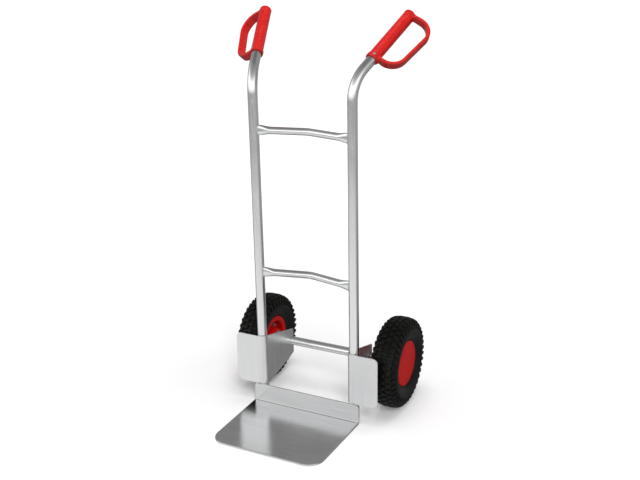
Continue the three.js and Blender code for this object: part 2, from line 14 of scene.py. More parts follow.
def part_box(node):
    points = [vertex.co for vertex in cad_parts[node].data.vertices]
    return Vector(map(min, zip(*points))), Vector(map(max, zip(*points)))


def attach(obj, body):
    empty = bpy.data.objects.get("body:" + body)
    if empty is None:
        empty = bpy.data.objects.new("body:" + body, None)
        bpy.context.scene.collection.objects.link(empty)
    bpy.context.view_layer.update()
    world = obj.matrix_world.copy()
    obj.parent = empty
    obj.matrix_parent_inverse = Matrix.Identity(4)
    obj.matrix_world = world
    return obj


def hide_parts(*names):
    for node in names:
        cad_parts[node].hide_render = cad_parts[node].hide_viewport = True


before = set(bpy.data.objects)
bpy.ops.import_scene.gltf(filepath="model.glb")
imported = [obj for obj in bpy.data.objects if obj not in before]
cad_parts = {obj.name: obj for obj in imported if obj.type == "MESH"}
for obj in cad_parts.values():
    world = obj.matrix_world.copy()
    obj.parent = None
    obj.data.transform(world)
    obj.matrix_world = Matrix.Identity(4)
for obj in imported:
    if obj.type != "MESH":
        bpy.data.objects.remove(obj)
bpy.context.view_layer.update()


def middle(node):
    low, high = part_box(node)
    return (low + high) / 2


# ---------------- driving dimensions

SIDES = {"right": 1, "left": -1}
UP = Vector((0, 0, 1))
SIDEWAYS = Vector((1, 0, 0))

UPRIGHT_AT = middle("end_plug_right")           # on the axis of the right upright
AXLE_AT = middle("axle_rod")
AXLE_LINE = Vector((0, AXLE_AT.y, AXLE_AT.z))
WHEEL_AT = Vector((middle("tyre_right").x, AXLE_AT.y, AXLE_AT.z))

FITTING_GAP = 0.0003                            # between parts that fit together
TUBE_RADIUS = 0.0135
TUBE_WALL = 0.002
TUBE_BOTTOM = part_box("upright_right")[0].z
BEND_START = 0.890
BEND_RADIUS = 0.095
LEAN = math.radians(56)                         # of the handle, from vertical
HEADING = math.radians(71)                      # of the lean, from sideways to the rear
NECK = 0.033                                    # straight tube between bend and grip

GRIP_RADIUS = 0.0163
GRIP_COLLAR = 0.0180                            # radius of the collar at its mouth
GRIP_LENGTH = 0.182
GRIP_DEPTH = 0.164                              # tube inside the grip
GUARD_TILT = math.radians(-36)                  # of the guard, from level
GUARD_HALF_WIDTH = 0.0125
GUARD_HALF_THICKNESS = 0.005
GUARD_CORNER = 0.0042
GUARD_ROOTS = (0.173, 0.0125)                   # along the grip, where the guard runs into it
ROOT_HALF_LENGTH = 0.007
FILLET_SKIN = 0.0175                            # radius from which the sleeve counts as left
FILLET_START = 0.002                            # off the joint, where its fillet starts to fade
FILLET_FADE = 0.008

BAR_RADIUS = 0.010
BAR_BOW = 0.030
BAR_BEND = 0.060
BAR_END_HEIGHT = 0.028
BAR_END_THICKNESS = 0.011
BAR_END_LENGTH = 0.034
BAR_WALL = 0.0015

SHEET = 0.003                                   # bracket, bent round the upright
BEND_MIDDLE = TUBE_RADIUS + FITTING_GAP + SHEET / 2
BEND_LENGTH = BEND_MIDDLE * math.pi / 2
PLATE = 0.005                                   # toe plate
PLATE_FOLD = 0.007                              # outer radius of its fold
FOLD_MIDDLE = PLATE_FOLD - PLATE / 2
FOLD_LENGTH = FOLD_MIDDLE * math.pi / 2
LEVEL_STRIP = 0.0015                            # flat kept level on each side of a fold

AXLE_TUBE_RADIUS = 0.0125
AXLE_RADIUS = 0.010

TYRE_RADIUS = 0.130
TYRE_HALF_WIDTH = 0.039
TYRE_WAIST = 0.096                              # radius where the tyre is widest
TYRE_WALL_DEPTH = 0.039                         # from the waist in towards the rim
TREAD_EDGE = 0.052                              # from the crown's middle to where the tread ends
TREAD_FADE = 0.010
LUGS = 40                                       # in each row round the tyre
LUG_PITCH = 2 * math.pi / LUGS
LUG_HEIGHT = 0.005
LUG_CORNER = 0.0034
LUG_SKEW = 0.16

TYRE_SIDES = 120
FINE = 96                                       # sides of a rim or a hub cap
ROUND = 48                                      # sides of a tube or a small turned part


# ---------------- materials

def add_node(tree, kind, inputs=(), **properties):
    """A shader node with its inputs set to values or linked to other nodes' outputs."""
    node = tree.nodes.new(kind)
    for key, value in properties.items():
        setattr(node, key, value)
    for socket, value in dict(inputs).items():
        if isinstance(value, bpy.types.NodeSocket):
            tree.links.new(value, node.inputs[socket])
        else:
            node.inputs[socket].default_value = value
    return node


class Shader:
    """A Principled material whose colour, roughness and relief come from textures."""

    def __init__(self, name, **sockets):
        self.material = bpy.data.materials.new(name)
        self.material.use_nodes = True
        self.tree = self.material.node_tree
        self.surface = self.tree.nodes["Principled BSDF"]
        for socket, value in sockets.items():
            self.surface.inputs[socket.replace("_", " ")].default_value = value
        self.place = self.node("ShaderNodeTexCoord").outputs["Object"]

    def node(self, kind, inputs=(), **properties):
        return add_node(self.tree, kind, inputs, **properties)

    def follow_sheet(self):
        """Textures follow the length of a tube or the flat blank of a sheet."""
        self.place = self.node("ShaderNodeAttribute", attribute_name="flow").outputs["Vector"]

    def noise(self, *scale, detail, distortion=0.0):
        """Noise at one scale, or at a scale for each axis."""
        scale = scale if len(scale) == 3 else scale * 3
        stretched = self.node("ShaderNodeMapping", {"Vector": self.place, "Scale": scale})
        inputs = {
            "Vector": stretched.outputs["Vector"],
            "Scale": 1.0,
            "Detail": detail,
            "Distortion": distortion,
        }
        return self.node("ShaderNodeTexNoise", inputs).outputs["Fac"]

    def remap(self, value, low, high, start=0.3, end=0.7):
        inputs = {"Value": value, "From Min": start, "From Max": end, "To Min": low, "To Max": high}
        return self.node("ShaderNodeMapRange", inputs).outputs["Result"]

    def ramp(self, value, *stops):
        node = self.node("ShaderNodeValToRGB", {"Fac": value})
        elements = node.color_ramp.elements
        while len(elements) < len(stops):
            elements.new(0.5)
        for element, (position, colour) in zip(elements, stops):
            element.position = position
            element.color = (*colour, 1.0)
        return node.outputs["Color"]

    def combine(self, operation, first, second):
        return self.node("ShaderNodeMath", {0: first, 1: second}, operation=operation).outputs["Value"]

    def total(self, first, *others):
        for value in others:
            first = self.combine("ADD", first, value)
        return first

    def colour(self, output):
        self.tree.links.new(output, self.surface.inputs["Base Color"])

    def roughness(self, output):
        self.tree.links.new(output, self.surface.inputs["Roughness"])

    def bump(self, height, distance, strength):
        inputs = {"Height": height, "Distance": distance, "Strength": strength}
        previous = self.surface.inputs["Normal"]
        if previous.links:
            inputs["Normal"] = previous.links[0].from_socket
        node = self.node("ShaderNodeBump", inputs)
        self.tree.links.new(node.outputs["Normal"], previous)


def brushed_aluminium(name, along, across, tone, rough, grain, streak=None):
    """Fine lines along the first axis of the sheet, with broad cloudy tones and a few scratches.
    Highlights are drawn out along the streak, if there is one."""
    shader = Shader(name, Metallic=1.0)
    shader.follow_sheet()
    lines = shader.noise(along, across, across, detail=6.0)
    bands = shader.noise(along * 0.4, across * 0.06, across * 0.06, detail=4.0)
    cloud = shader.noise(9.0, detail=4.0, distortion=0.4)
    marks = shader.noise(along * 3.0, across * 0.5, across * 0.5, detail=2.0)
    bright = tuple(tone * part for part in (1.06, 1.065, 1.07))
    dull = tuple(tone * part for part in (0.88, 0.885, 0.89))
    shares = ((lines, 0.45), (bands, 0.3), (cloud, 0.25))
    mixed = shader.total(*(shader.combine("MULTIPLY", value, share) for value, share in shares))
    shader.colour(shader.ramp(mixed, (0.36, dull), (0.66, bright)))
    uneven = (shader.remap(lines, -0.03, 0.03), shader.remap(cloud, -0.02, 0.04))
    shader.roughness(shader.total(*uneven, shader.remap(marks, 0.0, 0.06, 0.62, 0.74), rough))
    shader.bump(lines, 0.00002, grain)
    shader.bump(cloud, 0.0006, 0.10)
    if streak:
        axes = dict(zip("XYZ", streak))
        shader.surface.inputs["Anisotropic"].default_value = 0.75
        tangent = shader.node("ShaderNodeCombineXYZ", axes).outputs["Vector"]
        shader.tree.links.new(tangent, shader.surface.inputs["Tangent"])
    return shader.material


def grained(name, tone, stops, rough, grain, relief, **sockets):
    """A material from two noises, each given as its scales and detail. Its colour stops and
    its roughness follow the tone; the grain gives it relief, (height, strength)."""
    shader = Shader(name, **sockets)
    *tone_scale, tone_detail = tone
    *grain_scale, grain_detail = grain
    cloud = shader.noise(*tone_scale, detail=tone_detail)
    shader.colour(shader.ramp(cloud, *stops))
    shader.roughness(shader.remap(cloud, *rough))
    shader.bump(shader.noise(*grain_scale, detail=grain_detail), *relief)
    return shader.material


def zinc_steel():
    """Zinc-plated steel with a faint spangle."""
    shader = Shader("zinc plated steel", Metallic=1.0)
    grain = shader.noise(420.0, detail=4.0)
    cloud = shader.noise(60.0, detail=3.0)
    shader.colour(shader.ramp(cloud, (0.35, (0.50, 0.51, 0.53)), (0.65, (0.66, 0.67, 0.69))))
    shader.roughness(shader.remap(grain, 0.26, 0.44))
    shader.bump(grain, 0.00005, 0.4)
    return shader.material


def tyre_rubber():
    """Black rubber, dusty in patches, with a fine moulded grain."""
    shader = Shader("tyre rubber", Specular_IOR_Level=0.2)
    dust = shader.noise(38.0, detail=5.0, distortion=0.6)
    grain = shader.noise(1500.0, detail=2.0)
    wear = shader.noise(240.0, detail=4.0)
    shader.colour(shader.ramp(
        dust, (0.34, (0.003, 0.003, 0.0025)), (0.56, (0.004, 0.004, 0.0035)), (0.74, (0.009, 0.008, 0.007))))
    shader.roughness(shader.total(shader.remap(dust, 0.34, 0.50), shader.remap(wear, -0.05, 0.05)))
    shader.bump(wear, 0.0004, 0.35)
    shader.bump(grain, 0.0001, 0.3)
    return shader.material


def red_grip():
    """Satin red moulded plastic with a fine spark-eroded grain and rub marks."""
    shader = Shader("red grip plastic", Specular_IOR_Level=0.45)
    grain = shader.noise(1300.0, detail=2.0)
    rub = shader.noise(45.0, detail=5.0, distortion=0.8)
    shader.colour(shader.ramp(
        rub, (0.32, (0.50, 0.004, 0.002)), (0.55, (0.54, 0.005, 0.003)), (0.8, (0.59, 0.009, 0.005))))
    shader.roughness(shader.total(shader.remap(rub, 0.22, 0.32), shader.remap(grain, -0.05, 0.05)))
    shader.bump(grain, 0.0001, 0.25)
    shader.bump(rub, 0.0004, 0.04)
    return shader.material


TUBE_FINISH = brushed_aluminium("drawn aluminium tube", 14.0, 500.0, 0.88, 0.20, 0.05)
SHEET_FINISH = brushed_aluminium("brushed aluminium sheet", 10.0, 1100.0, 0.89, 0.30, 0.35)
PLATE_FINISH = brushed_aluminium(
    "brushed aluminium plate", 10.0, 1100.0, 0.74, 0.17, 0.12, streak=(0.0, 1.0, 1.0))
ZINC = zinc_steel()
TYRE_RUBBER = tyre_rubber()
RED_GRIP = red_grip()

# Bright, uneven weld metal with a rippled skin and soot here and there.
WELD_FINISH = grained(
    "weld metal", (160.0, 4.0), ((0.35, (0.46, 0.46, 0.46)), (0.6, (0.74, 0.745, 0.75))), (0.5, 0.36),
    (900.0, 3.0), (0.0003, 0.5), Metallic=1.0)
# Ground and polished steel.
BEARING = grained(
    "bearing steel", (700.0, 90.0, 90.0, 3.0), ((0.3, (0.48, 0.49, 0.50)), (0.7, (0.60, 0.61, 0.62))),
    (0.16, 0.30), (700.0, 90.0, 90.0, 3.0), (0.00003, 0.3), Metallic=1.0)
# Matt black butyl of the inner tube and its valve.
BUTYL = grained(
    "butyl rubber", (900.0, 3.0), ((0.3, (0.010, 0.010, 0.011)), (0.7, (0.022, 0.022, 0.023))),
    (0.55, 0.72), (900.0, 3.0), (0.0001, 0.4), Specular_IOR_Level=0.35)
# Red moulded rim, slightly dusty, with a soft orange-peel skin.
RED_RIM = grained(
    "red rim plastic", (55.0, 5.0),
    ((0.35, (0.52, 0.003, 0.002)), (0.55, (0.57, 0.004, 0.003)), (0.8, (0.62, 0.009, 0.006))),
    (0.34, 0.48), (420.0, 2.0), (0.0001, 0.22), Specular_IOR_Level=0.16)
# Black moulded polyethylene with a fine grain.
BLACK_PLASTIC = grained(
    "black plastic", (130.0, 4.0), ((0.35, (0.014, 0.014, 0.014)), (0.7, (0.032, 0.032, 0.031))),
    (0.42, 0.60), (1100.0, 2.0), (0.0001, 0.3), Specular_IOR_Level=0.45)


# ---------------- outlines and paths

def smooth(value):
    """0 below 0, 1 above 1, and an even curve between them."""
    value = min(1.0, max(0.0, value))
    return value * value * (3 - 2 * value)


def bulged(value, power):
    """A sine or cosine raised to a power, which squares off a circle."""
    return math.copysign(abs(value) ** power, value)


def arc(centre, spoke, end, axis, steps):
    """Points from centre + spoke round to centre + end."""
    angle = spoke.angle(end)
    return [centre + Quaternion(axis, angle * k / steps) @ spoke for k in range(steps + 1)]


def bent_path(corners, steps=6, closed=False):
    """A polyline through (point, radius) corners, each one with a radius turned into an arc."""
    points = []
    for i, (corner, radius) in enumerate(corners):
        if not radius or (not closed and i in (0, len(corners) - 1)):
            points.append(corner.copy())
            continue
        back = (corners[i - 1][0] - corner).normalized()
        ahead = (corners[(i + 1) % len(corners)][0] - corner).normalized()
        half = back.angle(ahead) / 2
        centre = corner + (back + ahead).normalized() * (radius / math.sin(half))
        start = corner + back * (radius / math.tan(half)) - centre
        end = corner + ahead * (radius / math.tan(half)) - centre
        points += arc(centre, start, end, start.cross(end).normalized(), steps)
    return points


def outline(corners, steps=6):
    """A closed 2-D outline from (x, y) or (x, y, radius) corners."""
    padded = [(Vector((x, y, 0)), radius[0] if radius else 0) for x, y, *radius in corners]
    return [(p.x, p.y) for p in bent_path(padded, steps, closed=True)]


def resampled(points, spacing):
    """The same polyline with no leg longer than the spacing."""
    fine = [points[0]]
    for start, end in zip(points, points[1:]):
        pieces = max(1, math.ceil((end - start).length / spacing))
        fine += [start.lerp(end, k / pieces) for k in range(1, pieces + 1)]
    return fine


# ---------------- meshes

def new_bmesh():
    bm = bmesh.new()
    bm.verts.layers.float_vector.new("flow")
    return bm


def add_ring(bm, points, flow):
    layer = bm.verts.layers.float_vector["flow"]
    ring = []
    for point, place in zip(points, flow):
        vert = bm.verts.new(point)
        vert[layer] = place
        ring.append(vert)
    return ring


def skin(bm, rings, closed=False):
    """Quads between neighbouring rings; closed joins the last ring to the first."""
    pairs = list(zip(rings, rings[1:]))
    if closed:
        pairs.append((rings[-1], rings[0]))
    for first, second in pairs:
        for i in range(len(first)):
            j = (i + 1) % len(first)
            bm.faces.new((first[i], first[j], second[j], second[i]))


def capped(bm, rings):
    """A skin over the rings, closed with a face at each end."""
    skin(bm, rings)
    bm.faces.new(rings[0])
    bm.faces.new(rings[-1])


def sweep(bm, path, section, up, fixed=False):
    """Rings of section(i) points carried along a path; up sets how the first one stands.
    A fixed section stands the same way all along, which a closed path needs."""
    rings, along = [], 0.0
    last = len(path) - 1
    tangents = [(path[min(i + 1, last)] - path[max(i - 1, 0)]).normalized() for i in range(last + 1)]
    if fixed:
        tangents[0] = tangents[-1] = (path[1] - path[-1]).normalized()
    normal = (up - tangents[0] * up.dot(tangents[0])).normalized()
    for i, point in enumerate(path):
        tangent = tangents[i]
        if fixed:
            normal = (up - tangent * up.dot(tangent)).normalized()
        elif i:
            along += (point - path[i - 1]).length
            normal = (tangents[i - 1].rotation_difference(tangent) @ normal).normalized()
        side = normal.cross(tangent).normalized()
        places = section(i)
        rings.append(add_ring(
            bm,
            [point + side * a + normal * b for a, b in places],
            [(along, a, b) for a, b in places],
        ))
    return rings


def circle(radius, sides=ROUND):
    return [
        (radius * math.cos(2 * math.pi * k / sides), radius * math.sin(2 * math.pi * k / sides))
        for k in range(sides)
    ]


def pipe(path, outer, inner, up):
    """A hollow tube along a path."""
    bm = new_bmesh()
    outside = sweep(bm, path, lambda i: circle(outer), up)
    inside = sweep(bm, path, lambda i: circle(inner), up)
    skin(bm, outside + inside[::-1], closed=True)
    return bm


def turned(profile, sides=FINE, centre=(0, 0, 0), axis=(1, 0, 0)):
    """A solid of revolution from (radius, distance along the axis) points.
    The profile closes on itself unless both its ends lie on the axis."""
    bm = new_bmesh()
    axis = Vector(axis).normalized()
    side = axis.orthogonal().normalized()
    other = axis.cross(side)
    rings = []
    for radius, distance in profile:
        spokes = circle(radius, sides)
        points = [Vector(centre) + axis * distance + side * a + other * b for a, b in spokes]
        rings.append(add_ring(bm, points, [(distance, a, b) for a, b in spokes]))
    skin(bm, rings, closed=profile[0][0] > 0 or profile[-1][0] > 0)
    bmesh.ops.remove_doubles(bm, verts=bm.verts, dist=1e-6)
    return bm


def folded_sheet(flat_outline, cuts, place, thickness, edge):
    """A sheet part: its flat outline, cut across in lines at the given distances along u,
    and carried to its folded shape by place(u, v, offset). The rim is rounded, and a loop
    just inside it keeps the shading of the flats level."""
    flat = bmesh.new()
    blank = flat.faces.new([flat.verts.new((u, v, 0)) for u, v in flat_outline])
    blank.normal_update()
    bmesh.ops.inset_region(
        flat, faces=[blank], thickness=edge * 1.5, use_boundary=True, use_even_offset=True)
    for u in cuts:
        everything = flat.verts[:] + flat.edges[:] + flat.faces[:]
        bmesh.ops.bisect_plane(flat, geom=everything, plane_co=(u, 0, 0), plane_no=(1, 0, 0))
    flat.verts.index_update()
    bm = new_bmesh()
    flow = [(v.co.x, v.co.y, 0) for v in flat.verts]
    front, back = (
        add_ring(bm, [place(v.co.x, v.co.y, offset) for v in flat.verts], flow)
        for offset in (thickness / 2, -thickness / 2)
    )
    for face in flat.faces:
        corners = [v.index for v in face.verts]
        bm.faces.new([front[i] for i in corners])
        bm.faces.new([back[i] for i in reversed(corners)])
    rim = []
    for line in flat.edges:
        if line.is_boundary:
            i, j = (v.index for v in line.verts)
            bm.faces.new((front[i], front[j], back[j], back[i]))
            rim += [bm.edges.get((front[i], front[j])), bm.edges.get((back[i], back[j]))]
    flat.free()
    bmesh.ops.recalc_face_normals(bm, faces=bm.faces)
    bmesh.ops.bevel(bm, geom=rim, offset=edge, segments=3, profile=0.5, affect="EDGES")
    return bm


def cross_grain(bm):
    """Turns the flow so that the brushing runs along the second axis of the blank."""
    layer = bm.verts.layers.float_vector["flow"]
    for vert in bm.verts:
        u, x, offset = vert[layer]
        vert[layer] = (x, u, offset)
    return bm


def new_mesh(name, bm):
    mesh = bpy.data.meshes.new(name)
    bm.to_mesh(mesh)
    bm.free()
    return mesh


def new_object(name, data):
    thing = bpy.data.objects.new(name, data)
    bpy.context.scene.collection.objects.link(thing)
    return thing


def add_piece(name, bm, body, finish, nodes=(), side=1, sharp=35):
    """Turns a bmesh into a piece that rides on a body and stands for CAD nodes."""
    bmesh.ops.scale(bm, vec=(side, 1, 1), verts=bm.verts)
    bmesh.ops.recalc_face_normals(bm, faces=bm.faces)
    mesh = new_mesh(name, bm)
    mesh.materials.append(finish)
    mesh.shade_smooth()
    mesh.set_sharp_from_angle(angle=math.radians(sharp))
    piece = new_object(name, mesh)
    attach(piece, body)
    if nodes:
        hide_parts(*nodes)


def add_pair(name, build, finish, nodes=(), wheel=False, sharp=35):
    """The right-hand piece as built, and its mirror image on the left."""
    for where, side in SIDES.items():
        body = f"wheel_{where}" if wheel else "frame"
        stood_for = [f"{node}_{where}" for node in nodes]
        add_piece(f"{name}_{where}", build(), body, finish, stood_for, side, sharp)


# ---------------- uprights

def grip_axes():
    """Corner of the right upright's bend, mouth of its grip, and unit vectors along the grip,
    towards its guard and across."""
    along = Vector((
        math.sin(LEAN) * math.cos(HEADING),
        math.sin(LEAN) * math.sin(HEADING),
        math.cos(LEAN),
    ))
    leg = BEND_RADIUS * math.tan(LEAN / 2)
    corner = Vector((UPRIGHT_AT.x, UPRIGHT_AT.y, BEND_START + leg))
    mouth = corner + along * (leg + NECK)
    level = along.cross(UP).normalized()
    guard = level * math.cos(GUARD_TILT) + level.cross(along).normalized() * math.sin(GUARD_TILT)
    return corner, mouth, along, guard, along.cross(guard).normalized()


BEND_CORNER, GRIP_MOUTH, GRIP_ALONG, GRIP_GUARD, GRIP_ACROSS = grip_axes()


def in_grip(along, guard):
    return GRIP_MOUTH + GRIP_ALONG * along + GRIP_GUARD * guard


def upright():
    path = bent_path([
        (Vector((UPRIGHT_AT.x, UPRIGHT_AT.y, TUBE_BOTTOM)), 0),
        (BEND_CORNER, BEND_RADIUS),
        (in_grip(GRIP_DEPTH, 0), 0),
    ], steps=28)
    path = resampled(path[:2], 0.04)[:-1] + resampled(path[1:], 0.04)
    return pipe(path, TUBE_RADIUS, TUBE_RADIUS - TUBE_WALL, SIDEWAYS)


def end_plug():
    """Ribbed black plug: a flat foot with a rounded edge and a spigot inside the tube."""
    bore = TUBE_RADIUS - TUBE_WALL - FITTING_GAP
    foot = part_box("end_plug_right")[0].z
    top = TUBE_BOTTOM - FITTING_GAP
    ribs = [(bore - (0.0006 if k % 2 else 0), top + 0.002 + 0.0018 * k) for k in range(7)]
    profile = [
        (0, foot), (TUBE_RADIUS - 0.0016, foot), (TUBE_RADIUS - 0.0006, foot + 0.0003),
        (TUBE_RADIUS - 0.0001, foot + 0.0011), (TUBE_RADIUS - 0.0001, top - 0.0002),
        (TUBE_RADIUS - 0.0005, top), (bore, top), *ribs,
        (bore - 0.002, top + 0.0145), (0, top + 0.0145),
    ]
    return turned(profile, ROUND, (UPRIGHT_AT.x, UPRIGHT_AT.y, 0), (0, 0, 1))


add_pair("upright_tube", upright, TUBE_FINISH, ["upright"])
add_pair("tube_foot", end_plug, BLACK_PLASTIC, ["end_plug"])


# ---------------- crossbars and weld beads

def bar_section(pressed, radius):
    """Round in the middle of the bar, pressed to a tall flat oval at its ends."""
    half_thick = radius + (BAR_END_THICKNESS / 2 - BAR_RADIUS) * pressed
    half_tall = radius + (BAR_END_HEIGHT / 2 - BAR_RADIUS) * pressed
    power = 2 / (2 + 0.5 * pressed)
    return [(bulged(a, power) * half_thick, bulged(b, power) * half_tall) for a, b in circle(1.0)]


def crossbar(height):
    """A bowed bar whose ends are saddled to the uprights."""
    reach = UPRIGHT_AT.x
    near = UPRIGHT_AT.y
    ends = [Vector((x, near, height)) for x in (-reach + 0.006, reach - 0.006)]
    path = bent_path([
        (ends[0], 0), (Vector((0, near + BAR_BOW, height)), BAR_BEND), (ends[1], 0),
    ], steps=12)
    path = resampled(path, 0.004)
    bm = new_bmesh()

    def section(radius):
        def at(i):
            from_end = reach - TUBE_RADIUS - abs(path[i].x)
            return bar_section(smooth(1 - from_end / BAR_END_LENGTH), radius)
        return at

    outside = sweep(bm, path, section(BAR_RADIUS), UP)
    inside = sweep(bm, path, section(BAR_RADIUS - BAR_WALL), UP)
    skin(bm, outside + inside[::-1], closed=True)
    for vert in bm.verts:
        if abs(vert.co.x) > reach - TUBE_RADIUS - 0.002:
            depth = TUBE_RADIUS ** 2 - (vert.co.y - near) ** 2
            limit = reach - math.sqrt(max(0.0, depth))
            if abs(vert.co.x) > limit:
                vert.co.x = math.copysign(limit, vert.co.x)
    bmesh.ops.remove_doubles(bm, verts=bm.verts, dist=1e-6)
    bmesh.ops.dissolve_degenerate(bm, edges=bm.edges, dist=1e-6)
    return bm


def weld_bead(path, up, radius, closed=False):
    """A bead of overlapping ripples laid along a seam."""
    path = resampled(path + path[:1] if closed else path, 0.0006)
    if closed:
        path = path[:-1]
    bm = new_bmesh()

    def section(i):
        ripple = (i % 5) / 5
        taper = 1.0 if closed else min(1.0, 0.35 + i / 6, 0.35 + (len(path) - 1 - i) / 6)
        return circle(radius * taper * (1 - 0.16 * ripple * ripple), 10)

    rings = sweep(bm, path, section, up, fixed=closed)
    if closed:
        skin(bm, rings, closed=True)
    else:
        capped(bm, rings)
    return bm


def crossbar_seam(height, side):
    """The line where a bar's oval end meets the round upright."""
    seam = []
    for a, b in bar_section(1.0, BAR_RADIUS):
        x = UPRIGHT_AT.x - math.sqrt(TUBE_RADIUS ** 2 - a * a)
        seam.append(Vector((side * x, UPRIGHT_AT.y + a, height + b)))
    return seam


for level in ("lower", "upper"):
    height = middle(f"crossbar_{level}").z
    bar = crossbar(height)
    add_piece(f"bar_{level}", bar, "frame", TUBE_FINISH, [f"crossbar_{level}"])
    for where, side in SIDES.items():
        bead = weld_bead(crossbar_seam(height, side), SIDEWAYS, 0.0014, closed=True)
        add_piece(f"weld_bar_{level}_{where}", bead, "frame", WELD_FINISH)


# ---------------- brackets

def round_upright(radius, angle, z):
    return Vector((UPRIGHT_AT.x + radius * math.cos(angle), UPRIGHT_AT.y + radius * math.sin(angle), z))


def bracket_place(u, z, offset):
    """From the flat blank to the bracket bent round the upright: u is 0 where the front
    plate leaves the bend, and grows outwards."""
    radius = BEND_MIDDLE + offset
    if u >= 0:
        return Vector((UPRIGHT_AT.x + u, UPRIGHT_AT.y - radius, z))
    if u > -BEND_LENGTH:
        return round_upright(radius, -math.pi / 2 + u / BEND_MIDDLE, z)
    return Vector((UPRIGHT_AT.x - radius, UPRIGHT_AT.y - u - BEND_LENGTH, z))


def bracket():
    """The flat blank, with a round notch for the axle tube in its rear edge, bent to shape."""
    low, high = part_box("bracket_right")
    rear_top, rear_foot = 0.166, 0.089          # heights of the rear edge's ends
    outer = high.x - UPRIGHT_AT.x
    rear = -(BEND_LENGTH + high.y - UPRIGHT_AT.y)
    bend_end = -BEND_LENGTH
    hole = AXLE_TUBE_RADIUS + 0.0002
    from_edge = AXLE_AT.y - high.y
    rise = math.sqrt(hole ** 2 - from_edge ** 2)
    opening = math.atan2(rise, -from_edge)
    steps = 28
    notch = []
    for k in range(steps + 1):
        angle = opening + (2 * math.pi - 2 * opening) * k / steps
        notch.append((rear - from_edge - hole * math.cos(angle), AXLE_AT.z + hole * math.sin(angle)))
    blank = outline([
        (outer, low.z, 0.020),
        (outer, high.z, 0.013),
        (bend_end, high.z),
        (rear, rear_top, 0.008),
        *notch,
        (rear, rear_foot, 0.008),
        (bend_end - 0.006, low.z),
    ], steps=8)
    cuts = [LEVEL_STRIP] + [-BEND_LENGTH * k / 14 for k in range(15)] + [-BEND_LENGTH - LEVEL_STRIP]
    return folded_sheet(blank, cuts, bracket_place, SHEET, 0.0005)


def axle_seam(x):
    """Arc round the axle tube where it passes through a side plate, open at the rear."""
    radius, opening = AXLE_TUBE_RADIUS + FITTING_GAP, 62
    angles = [math.radians(opening + (360 - 2 * opening) * k / 40) for k in range(41)]
    return [AXLE_LINE + Vector((x, radius * math.cos(turn), radius * math.sin(turn))) for turn in angles]


def bracket_top_seam(z):
    """Arc where the bracket's edge meets the front of the upright."""
    return [round_upright(TUBE_RADIUS + 0.0010, math.radians(-88 - 90 * k / 24), z) for k in range(25)]


def bracket_welds():
    low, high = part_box("bracket_right")
    seams = {
        "axle_inside": (axle_seam(low.x), SIDEWAYS),
        "axle_outside": (axle_seam(low.x + SHEET), SIDEWAYS),
        "bracket_top": (bracket_top_seam(high.z), UP),
    }
    for name, (seam, up) in seams.items():
        add_pair(f"weld_{name}", lambda: weld_bead(seam, up, 0.0015), WELD_FINISH)


add_pair("side_bracket", lambda: cross_grain(bracket()), SHEET_FINISH, ["bracket"])
bracket_welds()


# ---------------- toe plate

TOE_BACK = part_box("toe_plate")[1].y


def toe_place(u, x, offset):
    """From the flat blank to the folded toe plate: u is 0 where the plate meets the fold,
    and grows towards the front."""
    fold_y = TOE_BACK - PLATE_FOLD
    radius = FOLD_MIDDLE - offset
    if u >= 0:
        return Vector((x, fold_y - u, PLATE / 2 + offset))
    if u > -FOLD_LENGTH:
        angle = -u / FOLD_MIDDLE
        return Vector((x, fold_y + radius * math.sin(angle), PLATE_FOLD - radius * math.cos(angle)))
    return Vector((x, fold_y + radius, PLATE_FOLD - u - FOLD_LENGTH))


def toe_plate():
    low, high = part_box("toe_plate")
    front = TOE_BACK - PLATE_FOLD - low.y
    top = -(high.z - PLATE_FOLD) - FOLD_LENGTH
    edge = high.x
    corner = 0.006
    blank = outline([
        (front, -edge + 0.003, 0.044),
        (front, edge - 0.003, 0.044),
        (0, edge),
        (top + corner, edge),
        (top, edge - corner),
        (top, -edge + corner),
        (top + corner, -edge),
        (0, -edge),
    ], steps=14)
    cuts = [LEVEL_STRIP] + [-FOLD_LENGTH * k / 10 for k in range(11)] + [-FOLD_LENGTH - LEVEL_STRIP]
    return folded_sheet(blank, cuts, toe_place, PLATE, 0.0014)


def flange_seam():
    """Front seam between the top of the flange and the bracket's lower edge."""
    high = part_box("toe_plate")[1]
    y = high.y - PLATE + 0.0008
    return [Vector((x, y, high.z + 0.0004)) for x in (UPRIGHT_AT.x - 0.002, high.x - 0.007)]


def flange_weld():
    return weld_bead(flange_seam(), UP, 0.0016)


toe = cross_grain(toe_plate())
add_piece("folded_toe_plate", toe, "frame", PLATE_FINISH, ["toe_plate"])
add_pair("weld_flange", flange_weld, WELD_FINISH)


# ---------------- axle

def axle_tube():
    """A straight tube with chamfered ends."""
    end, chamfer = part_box("axle_tube")[1].x, 0.0005
    path = [Vector((x, AXLE_AT.y, AXLE_AT.z)) for x in (-end, -end + chamfer, end - chamfer, end)]
    path = resampled(path, 0.04)
    bm = new_bmesh()
    last = len(path) - 1

    def outside(i):
        return circle(AXLE_TUBE_RADIUS - (chamfer if i in (0, last) else 0))

    rings = sweep(bm, path, outside, UP)
    bore = sweep(bm, path, lambda i: circle(AXLE_RADIUS + FITTING_GAP), UP)
    skin(bm, rings + bore[::-1], closed=True)
    return bm


def axle_rod():
    """Solid axle with chamfered ends and a groove for each retaining ring."""
    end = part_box("axle_rod")[1].x
    ring_low, ring_high = (corner.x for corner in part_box("retaining_ring_right"))
    groove = AXLE_RADIUS - 0.0012
    right = [
        (AXLE_RADIUS, ring_low - FITTING_GAP), (groove, ring_low - FITTING_GAP),
        (groove, ring_high + FITTING_GAP), (AXLE_RADIUS, ring_high + FITTING_GAP),
        (AXLE_RADIUS, end - 0.001), (AXLE_RADIUS - 0.001, end), (0, end),
    ]
    left = [(radius, -x) for radius, x in reversed(right)]
    return turned(left + right, ROUND, AXLE_LINE)


